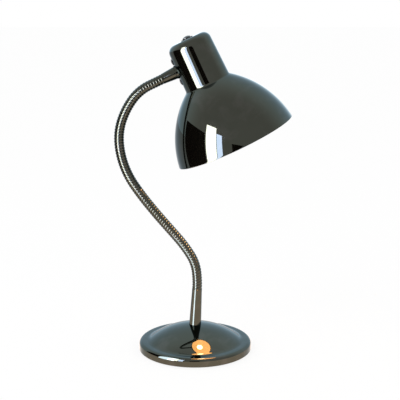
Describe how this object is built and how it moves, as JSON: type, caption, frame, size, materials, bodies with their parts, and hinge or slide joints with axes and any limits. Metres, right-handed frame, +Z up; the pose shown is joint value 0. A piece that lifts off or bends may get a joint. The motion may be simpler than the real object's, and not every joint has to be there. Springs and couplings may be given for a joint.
{
  "type": "gooseneck desk lamp",
  "caption": "Desk lamp with a domed weighted base, a ribbed flexible neck bent in an S, and a spun dome shade whose cap carries a push switch.",
  "frame": {"origin": "centre of the base's underside, on the table", "axes": "+Z up, square to the base's underside; the neck bends in the XZ plane, the shade hangs towards +X, and the cord inlet faces +Y"},
  "size_m": [0.2283, 0.1596, 0.4191],
  "materials": {
    "black_chrome": "black chrome plating, mirror bright",
    "screw_black": "black oxide, satin",
    "cast_iron": "rough cast, unpainted",
    "cover_board": "black lacquered sheet, matte",
    "felt": "dark green wool felt",
    "rubber": "moulded, matte",
    "zinc_steel": "zinc plated",
    "ceramic": "white glazed porcelain",
    "brass": "rolled, bright",
    "bulb_glass": "frosted inside, lit warm white",
    "nickel": "nickel plated",
    "black_plastic": "black moulded, glossy"
  },
  "bodies": {
    "base": {"base_shell": "black_chrome", "base_weight": "cast_iron", "base_cover": "cover_board", "felt_pad": "felt", "inlet_grommet": "rubber", "base_tube": "zinc_steel", "base_washer": "zinc_steel", "base_nut": "zinc_steel", "lower_ferrule": "black_chrome", "neck_link_01": "black_chrome"},
    "link_02": {"neck_link_02": "black_chrome"},
    "link_03": {"neck_link_03": "black_chrome"},
    "link_04": {"neck_link_04": "black_chrome"},
    "link_05": {"neck_link_05": "black_chrome"},
    "link_06": {"neck_link_06": "black_chrome"},
    "link_07": {"neck_link_07": "black_chrome"},
    "link_08": {"neck_link_08": "black_chrome"},
    "link_09": {"neck_link_09": "black_chrome"},
    "link_10": {"neck_link_10": "black_chrome"},
    "link_11": {"neck_link_11": "black_chrome"},
    "head": {"neck_link_12": "black_chrome", "upper_ferrule": "black_chrome", "saddle_collar": "black_chrome", "arm_tube": "zinc_steel", "arm_washer": "zinc_steel", "arm_nut": "zinc_steel", "lamp_shade": "black_chrome", "holder_bracket": "zinc_steel", "bracket_screws": "screw_black", "holder_screws": "zinc_steel", "holder_body": "ceramic", "thread_shell": "brass", "centre_contact": "brass", "bulb_glass": "bulb_glass", "bulb_cap": "nickel", "bulb_contact": "nickel", "bulb_filament": "nickel", "switch_bush": "black_plastic", "switch_nut": "black_plastic", "switch_body": "black_plastic"},
    "button": {"switch_button": "black_plastic"}
  },
  "joints": [
    {"name": "neck_lower_1", "type": "hinge", "parent": "base", "child": "link_02", "pos_m": [0.00201, 0, 0.1049], "axis": [0, 1, 0], "range_deg": [-12, 12]},
    {"name": "neck_lower_2", "type": "hinge", "parent": "link_02", "child": "link_03", "pos_m": [-0.00625, 0, 0.12923], "axis": [0, 1, 0], "range_deg": [-12, 12]},
    {"name": "neck_side_1", "type": "hinge", "parent": "link_03", "child": "link_04", "pos_m": [-0.02363, 0, 0.15315], "axis": [0.7604, 0, 0.6494], "range_deg": [-12, 12]},
    {"name": "neck_lower_3", "type": "hinge", "parent": "link_04", "child": "link_05", "pos_m": [-0.04285, 0, 0.17566], "axis": [0, 1, 0], "range_deg": [-12, 12]},
    {"name": "neck_lower_4", "type": "hinge", "parent": "link_05", "child": "link_06", "pos_m": [-0.06158, 0, 0.19858], "axis": [0, 1, 0], "range_deg": [-12, 12]},
    {"name": "neck_side_2", "type": "hinge", "parent": "link_06", "child": "link_07", "pos_m": [-0.07887, 0, 0.22259], "axis": [0.8339, 0, 0.5519], "range_deg": [-12, 12]},
    {"name": "neck_upper_1", "type": "hinge", "parent": "link_07", "child": "link_08", "pos_m": [-0.09192, 0, 0.24907], "axis": [0, 1, 0], "range_deg": [-12, 9]},
    {"name": "neck_upper_2", "type": "hinge", "parent": "link_08", "child": "link_09", "pos_m": [-0.09768, 0, 0.27801], "axis": [0, 1, 0], "range_deg": [-12, 9]},
    {"name": "neck_side_3", "type": "hinge", "parent": "link_09", "child": "link_10", "pos_m": [-0.09372, 0, 0.30715], "axis": [0.9455, 0, -0.3256], "range_deg": [-12, 12]},
    {"name": "neck_upper_3", "type": "hinge", "parent": "link_10", "child": "link_11", "pos_m": [-0.0801, 0, 0.33331], "axis": [0, 1, 0], "range_deg": [-12, 9]},
    {"name": "neck_upper_4", "type": "hinge", "parent": "link_11", "child": "head", "pos_m": [-0.05756, 0, 0.35202], "axis": [0, 1, 0], "range_deg": [-12, 9]},
    {"name": "button_press", "type": "slide", "parent": "head", "child": "button", "axis": [0.4289, 0, -0.9033], "range_m": [0, 0.0024], "stiffness_N_per_m": 500, "springref_m": -0.003}
  ],
  "couplings": [
    {"joint": "neck_lower_2", "follows": "neck_lower_1", "ratio": 1},
    {"joint": "neck_lower_3", "follows": "neck_lower_1", "ratio": 1},
    {"joint": "neck_lower_4", "follows": "neck_lower_1", "ratio": 1},
    {"joint": "neck_side_2", "follows": "neck_side_1", "ratio": 1},
    {"joint": "neck_side_3", "follows": "neck_side_1", "ratio": 1},
    {"joint": "neck_upper_2", "follows": "neck_upper_1", "ratio": 1},
    {"joint": "neck_upper_3", "follows": "neck_upper_1", "ratio": 1},
    {"joint": "neck_upper_4", "follows": "neck_upper_1", "ratio": 1}
  ]
}
